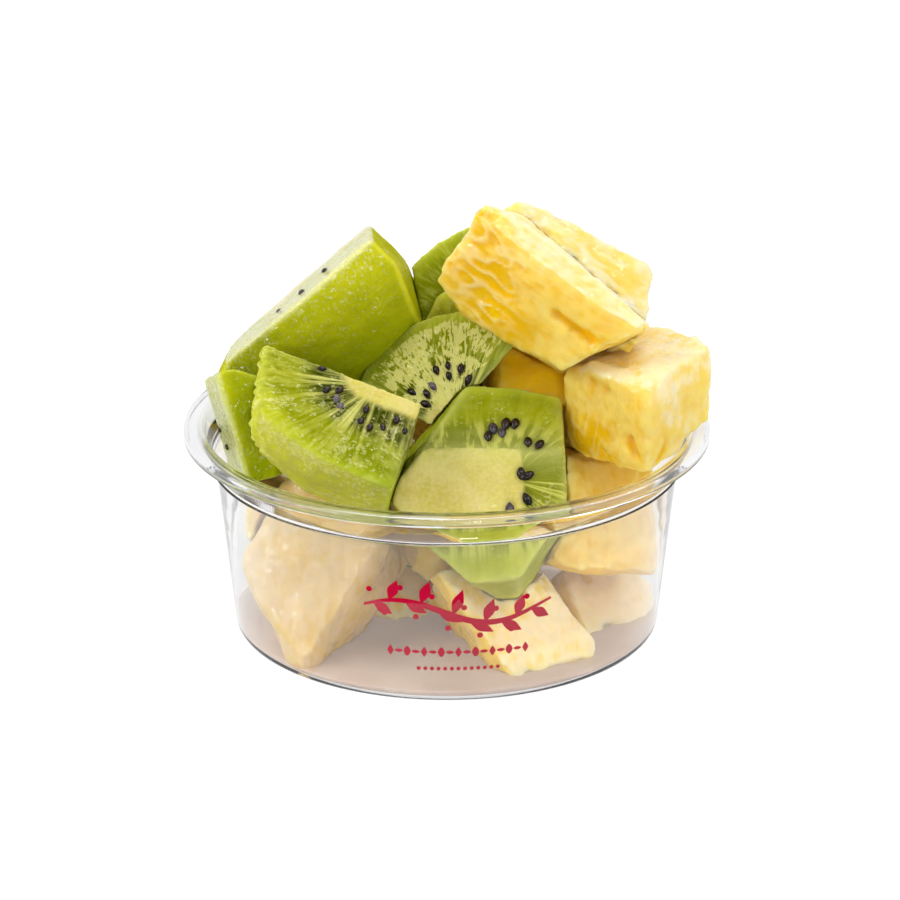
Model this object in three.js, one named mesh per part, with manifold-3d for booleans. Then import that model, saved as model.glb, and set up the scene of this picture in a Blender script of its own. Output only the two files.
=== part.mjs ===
// A clear plastic cup with a flanged rim, heaped with peeled kiwi and pineapple chunks.
// Millimetres and degrees, +Z up. The cup stands on z = 0 with its axis on the Z axis, its front towards -Y.
// A direction is written [bearing, slope]: bearing turns from +X towards +Y, slope lifts it above level.
import * as THREE from 'three'
import { mergeVertices } from 'three/addons/utils/BufferGeometryUtils.js'
import Module from 'manifold-3d'

const wasm = await Module()
wasm.setup()

// ---------- sizes ----------
const WALL = 0.5
const RIM_RADIUS = 49
const CUP_HEIGHT = 39.7
const CUP_SIDES = 54
const GAP = 0.35
const HEAP_TOP = 120

const KIWI_RADIUS = 25
const KIWI_HALF_LENGTH = 33
const KIWI_END_CUT = 29
const KIWI_BLUNTNESS = 2.2
const KIWI_SIDES = 24
const KIWI_BANDS = 8
const SEED_RING = { radius: 11, halfLength: 21, nearest: 0.86, spread: 0.32 }
const SEED_EDGE_ROOM = 0.8
const SEED = { length: 2.6, width: 1.6, depth: 1.1 }

const CHUNK_GRID = 4
const CHUNK_ROUNDING = 0.24
const CHUNK_BUMP = { height: 0.023, slowest: 4.8, spread: 3.6, slant: 0.6 }

// ---------- solids ----------
function toSolid(geometry) {
  const bare = new THREE.BufferGeometry()
  const loose = geometry.index ? geometry.toNonIndexed() : geometry
  bare.setAttribute('position', loose.getAttribute('position'))
  const merged = mergeVertices(bare, 1e-4)
  const corners = []
  const index = merged.index.array
  for (let i = 0; i < index.length; i += 3) {
    const [a, b, c] = [index[i], index[i + 1], index[i + 2]]
    if (a !== b && b !== c && c !== a) corners.push(a, b, c)
  }
  return new wasm.Manifold(new wasm.Mesh({
    numProp: 3,
    vertProperties: merged.getAttribute('position').array,
    triVerts: new Uint32Array(corners)
  }))
}

function toGeometry(solid) {
  const mesh = solid.getMesh()
  const geometry = new THREE.BufferGeometry()
  geometry.setAttribute('position', new THREE.BufferAttribute(new Float32Array(mesh.vertProperties), 3))
  geometry.setIndex(new THREE.BufferAttribute(new Uint32Array(mesh.triVerts), 1))
  geometry.computeVertexNormals()
  return geometry
}

function direction([bearing, slope]) {
  const b = THREE.MathUtils.degToRad(bearing)
  const s = THREE.MathUtils.degToRad(slope)
  return new THREE.Vector3(Math.cos(b) * Math.cos(s), Math.sin(b) * Math.cos(s), Math.sin(s))
}

function turnTo(to, from = new THREE.Vector3(0, 0, 1)) {
  return new THREE.Quaternion().setFromUnitVectors(from, to)
}

// Everything beyond the plane that faces `normal` at `distance` from `origin`.
function beyond(origin, normal, distance) {
  const reach = 160
  const block = new THREE.BoxGeometry(reach, reach, reach)
  block.translate(0, 0, reach / 2 + distance)
  block.applyQuaternion(turnTo(normal))
  block.translate(origin.x, origin.y, origin.z)
  return toSolid(block)
}

function lathe(points, sides) {
  const outline = points.map(([r, z]) => new THREE.Vector2(r, z))
  return toSolid(new THREE.LatheGeometry(outline, sides).rotateX(Math.PI / 2))
}

function arc(centreR, centreZ, radius, fromDegrees, toDegrees, steps) {
  const points = []
  for (let i = 0; i <= steps; i++) {
    const a = THREE.MathUtils.degToRad(fromDegrees + (toDegrees - fromDegrees) * i / steps)
    points.push([centreR + radius * Math.cos(a), centreZ + radius * Math.sin(a)])
  }
  return points
}

// ---------- cup ----------
const FOOT = { inner: 35.2, outer: 37.9, corner: 1.9 }
const DISC = { radius: 18, lift: 1.2 }
const RECESS = 0.8
const WALL_TOP = { radius: 43.06, z: 31.9 }
const SHOULDER = { radius: 44, z: 32.9 }
const NECK_TOP = 45.3
const LIP_DROP = 1.7
const LIP_THICK = 0.5

function cupProfile() {
  const under = [
    [0, DISC.lift],
    [DISC.radius - 0.4, DISC.lift],
    [DISC.radius, RECESS],
    [FOOT.inner - 0.7, RECESS],
    [FOOT.inner, 0],
    ...arc(FOOT.outer, FOOT.corner, FOOT.corner, -90, -8, 2)
  ]
  const outside = [
    [WALL_TOP.radius, WALL_TOP.z],
    [SHOULDER.radius - 0.1, SHOULDER.z - 0.4],
    [SHOULDER.radius, SHOULDER.z],
    [NECK_TOP - 0.1, CUP_HEIGHT - 1],
    [NECK_TOP + 0.5, CUP_HEIGHT - WALL],
    [RIM_RADIUS - 1, CUP_HEIGHT - WALL],
    [RIM_RADIUS - LIP_THICK, CUP_HEIGHT - WALL - 0.4],
    [RIM_RADIUS - LIP_THICK, CUP_HEIGHT - LIP_DROP],
    [RIM_RADIUS, CUP_HEIGHT - LIP_DROP],
    [RIM_RADIUS, CUP_HEIGHT - 0.7],
    [RIM_RADIUS - 0.2, CUP_HEIGHT - 0.2],
    [RIM_RADIUS - 0.7, CUP_HEIGHT]
  ]
  return [...under, ...outside, ...insideProfile(0)]
}

// The inside of the cup from the rim down to the floor, `clear` in from the plastic.
function insideProfile(clear) {
  return [
    [NECK_TOP + 0.6 - clear, CUP_HEIGHT],
    [NECK_TOP - 0.4 - clear, CUP_HEIGHT - 0.8],
    [SHOULDER.radius - WALL - clear, SHOULDER.z + 0.1],
    [SHOULDER.radius - WALL - 0.1 - clear, SHOULDER.z - 0.3],
    [WALL_TOP.radius - WALL - clear, WALL_TOP.z],
    ...arc(FOOT.outer - clear, FOOT.corner + WALL / 2 + clear, FOOT.corner - WALL / 2, -8, -90, 2),
    [FOOT.inner - 0.2, WALL + 0.1 + clear],
    [FOOT.inner - 0.9, RECESS + WALL + clear],
    [DISC.radius + 0.2, RECESS + WALL + clear],
    [DISC.radius - 0.2, DISC.lift + WALL + clear],
    [0, DISC.lift + WALL + clear]
  ]
}

// The room a chunk may fill: the inside of the cup, open above the rim.
function room() {
  return lathe([
    ...insideProfile(GAP).reverse(),
    [NECK_TOP + 0.6 - GAP, CUP_HEIGHT + GAP],
    [RIM_RADIUS, CUP_HEIGHT + GAP],
    [RIM_RADIUS, HEAP_TOP],
    [0, HEAP_TOP]
  ], CUP_SIDES)
}

// ---------- kiwi ----------
function kiwiWidthAt(along) {
  const share = Math.abs(along) / KIWI_HALF_LENGTH
  return KIWI_RADIUS * (1 - share ** KIWI_BLUNTNESS) ** (1 / KIWI_BLUNTNESS)
}

// A peeled kiwi with both ends cut flat, its length along Z.
function wholeKiwi() {
  const outline = [[0, -KIWI_END_CUT]]
  for (let i = 0; i <= KIWI_BANDS; i++) {
    const along = -KIWI_END_CUT * Math.cos(Math.PI * i / KIWI_BANDS)
    outline.push([kiwiWidthAt(along), along])
  }
  outline.push([0, KIWI_END_CUT])
  return lathe(outline, KIWI_SIDES)
}

// Numbers from 0 to 1, the same run for the same start.
function draws(start) {
  let state = start * 7919 + 17
  return () => {
    state = (state * 16807) % 2147483647
    return state / 2147483647
  }
}

// One seed lying in a cut face, half of it proud, its point towards the middle of the fruit.
function seedAt(spot, outward, facing) {
  const pip = new THREE.SphereGeometry(0.5, 6, 4)
  pip.scale(SEED.width, SEED.depth, SEED.length)
  const across = new THREE.Vector3().crossVectors(facing, outward)
  pip.applyMatrix4(new THREE.Matrix4().makeBasis(across, facing, outward))
  pip.translate(spot.x, spot.y, spot.z)
  return toSolid(pip)
}

// The seeds a cut shows: they sit where the cut crosses the egg-shaped layer of seeds about the core.
function seedsOn(cut, kiwi, random) {
  const seeds = []
  const toKiwi = turnTo(kiwi.axis).invert()
  const foot = cut.normal.clone().multiplyScalar(cut.at)
  const across = new THREE.Vector3().crossVectors(kiwi.axis, cut.normal)
  if (across.length() < 0.1) across.set(1, 0, 0).cross(cut.normal)
  across.normalize()
  const up = new THREE.Vector3().crossVectors(cut.normal, across)
  const r2 = SEED_RING.radius ** 2
  const h2 = SEED_RING.halfLength ** 2
  const p = foot.clone().applyQuaternion(toKiwi)
  for (let i = 0; i < cut.seeds; i++) {
    const turn = 2 * Math.PI * (i + 0.5 * random()) / cut.seeds
    const outward = across.clone().multiplyScalar(Math.cos(turn)).addScaledVector(up, Math.sin(turn))
    const d = outward.clone().applyQuaternion(toKiwi)
    const a = (d.x ** 2 + d.y ** 2) / r2 + d.z ** 2 / h2
    const b = 2 * ((p.x * d.x + p.y * d.y) / r2 + p.z * d.z / h2)
    const c = (p.x ** 2 + p.y ** 2) / r2 + p.z ** 2 / h2 - 1
    if (b * b < 4 * a * c) continue
    const reach = (Math.sqrt(b * b - 4 * a * c) - b) / (2 * a)
      * (SEED_RING.nearest + SEED_RING.spread * random())
    const spot = foot.clone().addScaledVector(outward, reach)
    const inside = kiwi.cuts.every(other => other === cut || spot.dot(other.normal) < other.at - SEED_EDGE_ROOM)
    if (reach > SEED.length && inside) seeds.push(seedAt(spot.add(kiwi.centre), outward, cut.normal))
  }
  return seeds
}

function kiwiChunk(shape, number) {
  const random = draws(number)
  const kiwi = {
    centre: new THREE.Vector3(...shape.centre),
    axis: direction(shape.axis),
    cuts: shape.cuts.map(([bearing, slope, at, seeds]) => ({ normal: direction([bearing, slope]), at, seeds }))
  }
  const size = shape.size ?? 1
  const placed = new THREE.Matrix4().makeRotationFromQuaternion(turnTo(kiwi.axis)).setPosition(kiwi.centre)
  placed.scale(new THREE.Vector3(size, size, size))
  let body = wholeKiwi().transform(placed.elements)
  for (const cut of kiwi.cuts) body = body.subtract(beyond(kiwi.centre, cut.normal, cut.at))
  const seeds = kiwi.cuts.flatMap(cut => seedsOn(cut, kiwi, random))
  return { body, seeds }
}

// ---------- pineapple ----------
// A chunk is a block with a corner and three edges, each [bearing, slope, length], rounded and made uneven.
// Its cuts are [bearing, slope, distance from the middle of the block].
function pineappleChunk(shape, number) {
  const random = draws(number + 40)
  const corner = new THREE.Vector3(...shape.corner)
  const edges = shape.edges.map(([bearing, slope, length]) => direction([bearing, slope]).multiplyScalar(length))
  const rightHanded = edges[0].dot(edges[1].clone().cross(edges[2])) > 0
  if (!rightHanded) edges.reverse()
  const waves = [0, 1, 2].map(() => ({
    start: 2 * Math.PI * random(),
    pace: CHUNK_BUMP.slowest + CHUNK_BUMP.spread * random()
  }))
  const block = new THREE.BoxGeometry(2, 2, 2, CHUNK_GRID, CHUNK_GRID, CHUNK_GRID)
  const spots = block.getAttribute('position')
  const spot = new THREE.Vector3()
  for (let i = 0; i < spots.count; i++) {
    spot.fromBufferAttribute(spots, i)
    const core = spot.clone().clampScalar(CHUNK_ROUNDING - 1, 1 - CHUNK_ROUNDING)
    const out = spot.clone().sub(core)
    out.setLength(Math.min(out.length(), CHUNK_ROUNDING))
    const bump = waves.reduce((sum, wave, k) => {
      const along = spot.getComponent((k + 1) % 3) + CHUNK_BUMP.slant * spot.getComponent((k + 2) % 3)
      return sum + Math.sin(wave.start + wave.pace * along)
    }, 0)
    const round = core.add(out).multiplyScalar(1 + CHUNK_BUMP.height * bump)
    const at = corner.clone()
    edges.forEach((edge, k) => at.addScaledVector(edge, (round.getComponent(k) + 1) / 2))
    spots.setXYZ(i, at.x, at.y, at.z)
  }
  const middle = edges.reduce((sum, edge) => sum.addScaledVector(edge, 0.5), corner.clone())
  let body = toSolid(block)
  for (const [bearing, slope, at] of shape.cuts ?? []) {
    body = body.subtract(beyond(middle, direction([bearing, slope]), at))
  }
  return { body, seeds: [] }
}

// ---------- the heap ----------
// Kiwi cuts are [bearing, slope, distance from the middle of the fruit, seeds round the whole ring].
const CHUNKS = {
  kiwi_front_left: {
    centre: [-8.1, -15.9, 50.7], size: 0.95, axis: [175, 21],
    cuts: [[-55, 60, 0, 26], [70, 34, 0, 0], [-7, -17, 4, 0], [180, 8, 26.2, 0]]
  },
  kiwi_front_center: {
    centre: [3.6, -19.2, 35.2], size: 0.95, axis: [1, 2],
    cuts: [[-90, 49, 0, 26], [-90, 67, 1.9, 24], [170, 39, 9.6, 0], [-166, -46, 12.1, 0],
      [-79, -56, 19.7, 0], [1, 2, 18.3, 0], [-17, -24, 17.6, 0]]
  },
  kiwi_center: {
    centre: [1.6, -1.6, 39.4], size: 0.9, axis: [-117, 34],
    cuts: [[-117, 34, 0, 22], [3, -43, -1.1, 0], [-162, -64, 2.6, 0], [63, -34, 9, 0]]
  },
  kiwi_back_left: {
    centre: [-24.3, 28.7, 60.4], size: 0.98, axis: [21, 37],
    cuts: [[169, 49, 0, 8], [98, -16, 0, 16], [12, 43, 12.4, 0], [0, 17, 16.2, 0], [177, 25, 9.2, 0]]
  },
  kiwi_far_left: {
    centre: [-45.9, 10.3, 38], axis: [141, 71],
    cuts: [[-162, -11, 0, 24], [105, -16, -9, 0], [84, 63, 5.3, 0], [162, 51, 5.1, 0],
      [18, 51, 13.2, 0], [1, 19, 14.4, 0], [-39, -71, 12.7, 0]]
  },
  pineapple_right: {
    corner: [36.1, -17.3, 52.8], edges: [[135, -2, 22.6], [50, 8, 23.1], [41, -86, 19]]
  },
  pineapple_top_front: {
    corner: [4.3, 4, 81.3], edges: [[-31, -24, 42], [156, -65, 25.5], [62, -3, 14.9]],
    cuts: [[46, 62, 14.3], [22, 44, 9.3], [-166, -32, 14.1], [-147, -55, 9.1], [-36, -56, 11.3]]
  },
  pineapple_front_center: {
    corner: [11.9, -34.7, 1.5], edges: [[35, 2, 21.7], [137, 43, 27.9], [95, -40, 19.4]]
  },
  pineapple_front_left: {
    corner: [-27.6, -32.9, 1], edges: [[126, 40, 27.4], [36, 51, 32.8], [71, -34, 20.8]]
  },
  pineapple_top_back: {
    corner: [40, 12.1, 65.8], edges: [[175, 28, 30.3], [-100, -25, 21.6], [122, -36, 19.7]]
  },
  kiwi_middle_back: {
    centre: [2.1, 2.3, 44.6], size: 0.9, axis: [-117, 34],
    cuts: [[-117, 34, -4, 0], [164, 23, 13, 0], [-70, -74, -5, 0], [63, -34, 18, 0], [4, 11, 8, 0]]
  },
  kiwi_back: {
    centre: [10.4, 18, 50.6], size: 0.9, axis: [-99, 36],
    cuts: [[-99, 36, 0, 26], [81, -36, 14, 0], [-14, -16, 0, 0], [-103, -62, 0, 0]]
  },
  pineapple_middle: {
    corner: [8.8, -1.1, 41], edges: [[14, 2, 20], [86, 48, 17.4], [103, -19, 15.8]]
  },
  pineapple_under_right: {
    corner: [18.5, -19.4, 19.1], edges: [[22, -16, 25.8], [91, 48, 22.6], [124, -11, 17.3]]
  },
  pineapple_low_right: {
    corner: [26.7, -15, 1.6], edges: [[42, -2, 19.2], [115, 39, 18.8], [134, -50, 18.4]]
  },
  pineapple_low_center: {
    corner: [-12.9, -6.1, 1.6], edges: [[12, -9, 12.4], [98, 43, 16], [111, -47, 18]]
  },
  pineapple_left: {
    corner: [-36.2, -14.2, 17.4], edges: [[113, 67, 15.3], [-6, -16, 9.9], [79, -10, 19]]
  },
  pineapple_back_left: {
    corner: [-32, 9.7, 30.2], edges: [[25, -12, 22], [113, 8, 20], [-9, 76, 18]]
  },
  pineapple_low_back: {
    corner: [-11.6, 16.4, 6], edges: [[-10, -6, 26], [81, -8, 22], [43, 80, 18]]
  },
  pineapple_back: {
    corner: [-10.5, 23.3, 17.5], edges: [[12, 14, 22], [106, 16, 18], [-118, 69, 18]]
  },
  pineapple_back_right: {
    corner: [23.3, 6.3, 16.5], edges: [[35, -8, 20], [123, 12, 22], [-22, 76, 22]]
  },
  pineapple_high_back: {
    corner: [11.9, 20.8, 45.9], edges: [[-20, -22, 19], [75, -11, 16], [10, 65, 18]]
  },
  pineapple_core: {
    corner: [-4.5, -9.8, 11.1], edges: [[35, -10, 20], [121, 20, 20], [-29, 68, 20]]
  },
  kiwi_back_right: {
    centre: [10, 33, 45], axis: [70, 20],
    cuts: [[70, 20, 4, 14], [-110, -20, 12, 0], [-30, 50, 2, 0], [170, -20, 9, 0]]
  },
  kiwi_low_back: {
    centre: [-16, 27, 19], axis: [150, 10],
    cuts: [[130, 10, 5, 14], [-50, -10, 12, 0], [60, 60, 2, 0], [-120, -60, 12, 0], [-160, 20, 13, 0]]
  }
}

function middleOf(solid) {
  const { min, max } = solid.boundingBox()
  return min.map((low, i) => (low + max[i]) / 2)
}

// The solid stretched by the gap on each side.
function grown(solid) {
  const { min, max } = solid.boundingBox()
  const middle = middleOf(solid)
  const scale = max.map((high, i) => 1 + 2 * GAP / (high - min[i]))
  return solid.translate(middle.map(m => -m)).scale(scale).translate(middle)
}

// The solid moved by the gap towards another, which keeps its hollow faces clear of it too.
function pushed(solid, other) {
  const way = new THREE.Vector3(...middleOf(other)).sub(new THREE.Vector3(...middleOf(solid)))
  return solid.translate(way.setLength(GAP).toArray())
}

function overlaps(a, b) {
  const [p, q] = [a.boundingBox(), b.boundingBox()]
  const boxesMeet = p.min.every((low, i) => low < q.max[i] && q.min[i] < p.max[i])
  return boxesMeet && a.intersect(b).volume() > 0
}

function largestPiece(solid) {
  return solid.decompose().reduce((best, piece) => piece.volume() > best.volume() ? piece : best)
}

// Each chunk gives way to the ones listed before it, and to the cup.
function heap() {
  const inside = room()
  const laid = []
  Object.entries(CHUNKS).forEach(([name, shape], number) => {
    const { body, seeds } = shape.axis ? kiwiChunk(shape, number + 1) : pineappleChunk(shape, number + 1)
    let solid = body.intersect(inside)
    for (const seed of seeds) solid = solid.add(seed)
    for (const other of laid) {
      if (overlaps(solid, other.around)) solid = solid.subtract(other.around)
      if (!overlaps(solid, other.solid)) continue
      solid = solid.subtract(pushed(other.solid, solid)).subtract(other.solid)
    }
    solid = largestPiece(solid)
    laid.push({ name, solid, around: grown(solid) })
  })
  return laid
}

// ---------- materials ----------
function material(name, colour, roughness, opacity = 1) {
  return new THREE.MeshStandardMaterial({
    name, color: colour, roughness, metalness: 0, opacity, transparent: opacity < 1
  })
}

function fruitMaterial(name) {
  if (name.startsWith('kiwi')) return material('kiwi_flesh', 0xa9b83a, 0.35)
  return material('pineapple_flesh', 0xf2d98a, 0.5)
}

const fruitCup = new THREE.Group()
fruitCup.name = 'fruit_cup'

function addNode(name, solid, look) {
  const mesh = new THREE.Mesh(toGeometry(solid), look)
  mesh.name = name
  fruitCup.add(mesh)
}

addNode('cup', lathe(cupProfile(), CUP_SIDES), material('clear_plastic', 0xe8eeee, 0.1, 0.35))
for (const { name, solid } of heap()) addNode(name, solid, fruitMaterial(name))

export default fruitCup
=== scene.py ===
# A clear plastic cup heaped with peeled kiwi and pineapple chunks.
# Metres, +Z up, the cup's axis on Z and its front towards -Y. Shapes are given in millimetres, scaled by MM.
# A direction is written [bearing, slope]: bearing turns from +X towards +Y, slope lifts it above level.
import math
from types import SimpleNamespace as Named

import bmesh
import bpy
import numpy as np
from mathutils import Matrix, Vector, noise


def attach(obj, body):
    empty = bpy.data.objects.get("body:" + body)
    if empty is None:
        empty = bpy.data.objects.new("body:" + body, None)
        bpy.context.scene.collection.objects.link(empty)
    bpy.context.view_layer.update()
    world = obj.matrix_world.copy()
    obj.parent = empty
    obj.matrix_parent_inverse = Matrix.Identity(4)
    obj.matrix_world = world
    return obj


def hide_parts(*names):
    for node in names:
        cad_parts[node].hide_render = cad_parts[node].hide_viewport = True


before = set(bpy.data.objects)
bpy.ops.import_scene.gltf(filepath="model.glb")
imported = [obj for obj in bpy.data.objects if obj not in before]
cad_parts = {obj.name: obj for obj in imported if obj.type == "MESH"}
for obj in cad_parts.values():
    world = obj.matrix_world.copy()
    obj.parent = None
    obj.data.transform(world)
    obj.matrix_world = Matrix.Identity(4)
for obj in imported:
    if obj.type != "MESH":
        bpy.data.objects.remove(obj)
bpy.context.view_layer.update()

MM = 0.001
BODY = "root"
SCENE = bpy.context.scene

# ---------- sizes in millimetres ----------
# How fine the chunks' meshes are, at the front and elsewhere.
FINE = 0.38
COARSE = 0.62
# How many rounds of smoothing soften each chunk's edges.
SOFT_STEPS = {
    "kiwi_back_left": 44, "kiwi_far_left": 30, "kiwi_front_left": 12, "kiwi_front_center": 20,
    "pineapple_right": 26, "pineapple_top_front": 10, "pineapple_front_left": 12, "pineapple_front_center": 8,
}
PLAIN_STEPS = 5

# A whole kiwi at size 1: its half width and half length, and the power that makes its ends blunt.
FRUIT = Named(radius=25, half_length=33, power=2.2)
# The egg-shaped layer in which the seeds lie, with how near and how scattered they are; and one seed.
SEED_RING = Named(radius=11, half_length=21, nearest=0.86, spread=0.32)
SEED = Named(length=2.15, width=1.25, depth=0.9)
# How far a seed keeps from other cuts and from the line to which seeds point, and half that line's length.
SEED_ROOM = Named(cut=0.4, line=1, line_end=10)
# The dip and the dark halo about a seed.
HALO = Named(length=2.1, width=1.2, depth=1.2, fade=1.3, dip=0.12, dark=0.8)
# How far a cut face may lie off its plane, how far in an edge is worn, and where the first cut's shine ends.
FACE_REACH = 0.3
EDGE_REACH = 0.9
SHINE_REACH = (0.4, 1.2)

# Each kiwi chunk: the middle of its fruit, its size, the fruit's axis, and the cuts that shaped it,
# each [bearing, slope, distance from the middle, seeds round the whole ring].
KIWIS = {
    "kiwi_front_left": dict(
        centre=(-8.1, -15.9, 50.7), size=0.95, axis=(175, 21),
        cuts=[(-55, 60, 0, 26), (70, 34, 0, 0), (-7, -17, 4, 0), (180, 8, 26.2, 0)],
    ),
    "kiwi_front_center": dict(
        centre=(3.6, -19.2, 35.2), size=0.95, axis=(1, 2),
        cuts=[(-90, 49, 0, 26), (-90, 67, 1.9, 24), (170, 39, 9.6, 0), (-166, -46, 12.1, 0),
              (-79, -56, 19.7, 0), (1, 2, 18.3, 0), (-17, -24, 17.6, 0)],
    ),
    "kiwi_center": dict(
        centre=(1.6, -1.6, 39.4), size=0.9, axis=(-117, 34),
        cuts=[(-117, 34, 0, 22), (3, -43, -1.1, 0), (-162, -64, 2.6, 0), (63, -34, 9, 0)],
    ),
    "kiwi_back_left": dict(
        centre=(-24.3, 28.7, 60.4), size=0.98, axis=(21, 37),
        cuts=[(169, 49, 0, 8), (98, -16, 0, 16), (12, 43, 12.4, 0), (0, 17, 16.2, 0), (177, 25, 9.2, 0)],
    ),
    "kiwi_far_left": dict(
        centre=(-45.9, 10.3, 38), size=1, axis=(141, 71),
        cuts=[(-162, -11, 0, 24), (105, -16, -9, 0), (84, 63, 5.3, 0), (162, 51, 5.1, 0),
              (18, 51, 13.2, 0), (1, 19, 14.4, 0), (-39, -71, 12.7, 0)],
    ),
    "kiwi_middle_back": dict(
        centre=(2.1, 2.3, 44.6), size=0.9, axis=(-117, 34),
        cuts=[(-117, 34, -4, 0), (164, 23, 13, 0), (-70, -74, -5, 0), (63, -34, 18, 0), (4, 11, 8, 0)],
    ),
    "kiwi_back": dict(
        centre=(10.4, 18, 50.6), size=0.9, axis=(-99, 36),
        cuts=[(-99, 36, 0, 26), (81, -36, 14, 0), (-14, -16, 0, 0), (-103, -62, 0, 0)],
    ),
    "kiwi_back_right": dict(
        centre=(10, 33, 45), size=1, axis=(70, 20),
        cuts=[(70, 20, 4, 14), (-110, -20, 12, 0), (-30, 50, 2, 0), (170, -20, 9, 0)],
    ),
    "kiwi_low_back": dict(
        centre=(-16, 27, 19), size=1, axis=(150, 10),
        cuts=[(130, 10, 5, 14), (-50, -10, 12, 0), (60, 60, 2, 0), (-120, -60, 12, 0), (-160, 20, 13, 0)],
    ),
}

# How each kiwi's flesh looks, where it isn't PLAIN.
# core: its radius, where it starts and stops along the fruit, how long its rounded ends are and how blunt.
# pale: the way the green is painted paler, as painted light from that side with painted shade away from it,
# and the distance over which it does; cut_pale and peel_pale: how much paler the cuts and the peeled side
# are. dark: how dark
# the flesh about the seeds is. ray: how clear the rays are. milk: how milky the peeled side is painted,
# a painted reflection of the bright room. rim: how pale the faces' edges are painted, as the glow of
# light through them. seed: how large the seeds are.
# film: how much juice lies on the chunk, and first_film on its first cut. dry_border: how much less lies by
# the edge of a face. veil: how much of the juice's painted reflection, a pale sheen, is laid over the flesh.
# speck: 1 where it lies in fine specks, 0 in streaks.
# glare: how white the first cut shines. wet_edge: a cut, and the reach and strength of the wetness beside it.
# beads: a cut, and the reach and height of the beads beside it. ridges: how ridged the peeled side is.
PLAIN = dict(
    core=(4.8, -10, 10, 5, 2), pale=(180, 40, 40), cut_pale=0, peel_pale=0, dark=0.8, ray=1, milk=0,
    rim=1, seed=1, film=0.28, first_film=None, dry_border=0.1, veil=0.42, speck=1, glare=0,
    wet_edge=(0, 5, 0), beads=(0, 2, 0), ridges=0,
)
FLESH = {
    "kiwi_front_left": dict(
        core=(4.6, -10, 5.5, 6, 2), pale=(178, -12, 60), cut_pale=-0.45, peel_pale=-0.2, dark=1, milk=0.7,
        rim=0.6, film=0.34, speck=0.45, wet_edge=(0, 4, 0.2), beads=(3, 3.5, 0.55),
    ),
    "kiwi_front_center": dict(
        core=(7.2, -15, 8.2, 2.6, 4), pale=(-10, -25, 60), cut_pale=-0.15, peel_pale=-0.2, dark=0.5, ray=0.3,
        milk=0.6, seed=1.3, film=0.3, speck=0.5,
    ),
    "kiwi_center": dict(
        core=(7, -10, 10, 5, 2), pale=(0, 90, 50), cut_pale=-0.5, dark=0.85, film=0.56, dry_border=0.7,
        veil=0.92, speck=0,
    ),
    "kiwi_back_left": dict(
        pale=(168, 62, 40), cut_pale=0.4, peel_pale=0.14, dark=0.1, ray=0, rim=0.4, film=0.17, first_film=1.4,
        glare=0.34, wet_edge=(0, 7, 0.3),
    ),
    "kiwi_far_left": dict(
        pale=(178, 20, 30), dark=0.1, ray=0, rim=0.5, seed=0.9, film=0.2, first_film=1.3, glare=0.14,
        wet_edge=(0, 6, 0.05), ridges=0.4,
    ),
    "kiwi_back": dict(cut_pale=-0.7, film=0.24, speck=0.4),
}

# Seeds that lie on a cut face of the front chunks: (along the fruit, across it) from the middle of the fruit.
SEED_SPOTS = {
    ("kiwi_front_left", 0): [
        (15.4, 1), (13.3, 5.5), (11.1, 4.3), (11.1, 6.7), (10, 8.1), (5.4, 6.7),
        (5.6, 9.9), (3.7, 10.7), (1.5, 9.5), (-0.5, 6.5), (-2.5, 8.4),
    ],
    ("kiwi_front_center", 0): [
        (10, 1.3), (11.1, 0.7), (10.3, -0.9), (10.9, -4), (7.7, -6), (1.4, 5.8),
    ],
    ("kiwi_front_center", 1): [
        (4.3, 9.8), (5.3, 11.9), (6.9, 10.8), (7.7, 12.9), (9.4, 12.9), (11.6, 8), (13.6, 7.2), (11.7, 5.9),
    ],
    ("kiwi_center", 0): [
        (9.7, 6.8), (10.9, 4.6), (9, 3.9), (10.7, 1.9), (8.9, -0.1), (6.6, 6.6), (4.9, 7.3), (4.8, 10.5),
        (3, 7),
    ],
    ("kiwi_back_left", 0): [(-12, -12), (-6.5, -13), (-0.5, -12)],
    ("kiwi_far_left", 0): [(1.9, -9.1), (-1, -8.9), (-3, -10.9), (-6, -14.3)],
}

# Each pineapple chunk: the way its fibres run; how golden it is, from 0 for pale to 1 for deep gold, where
# that isn't
# PLAIN_GOLD, and past 1 a saturated gold painted as bounced light in shade; and how much painted shade and
# haze darken and brown it behind the wall of the cup.
PLAIN_GOLD = 0.3
PINEAPPLES = {
    "pineapple_right": dict(fibres=(70, 62), gold=0.36),
    "pineapple_top_front": dict(fibres=(-31, -24), gold=0.34),
    "pineapple_front_center": dict(fibres=(95, 62), gold=0.34, dull=0.12),
    "pineapple_front_left": dict(fibres=(88, 66), gold=0.14, dull=0.52),
    "pineapple_top_back": dict(fibres=(175, 28), gold=0.5),
    # Painted shade: this chunk, deep in the heap's shade, is painted the saturated gold that bounced light
    # gives it.
    "pineapple_middle": dict(fibres=(20, 5), gold=1.4),
    "pineapple_under_right": dict(fibres=(91, 60), gold=0.75, dull=0.14),
    "pineapple_low_right": dict(fibres=(115, 50), gold=0.25, dull=0.2),
    "pineapple_low_center": dict(fibres=(98, 43)),
    "pineapple_left": dict(fibres=(113, 67), gold=0.4, dull=0.3),
    "pineapple_back_left": dict(fibres=(25, -12)),
    "pineapple_low_back": dict(fibres=(43, 80)),
    "pineapple_back": dict(fibres=(12, 14)),
    "pineapple_back_right": dict(fibres=(-22, 76)),
    "pineapple_high_back": dict(fibres=(-20, -22)),
    "pineapple_core": dict(fibres=(-29, 68)),
}
# The first five of each fruit are the chunks in front.
FRONT_CHUNKS = list(KIWIS)[:5] + list(PINEAPPLES)[:5]


# ---------- directions and noise ----------
def direction(bearing, slope):
    b, s = math.radians(bearing), math.radians(slope)
    return np.array([math.cos(b) * math.cos(s), math.sin(b) * math.cos(s), math.sin(s)])


def unit(v):
    return v / np.linalg.norm(v)


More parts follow.
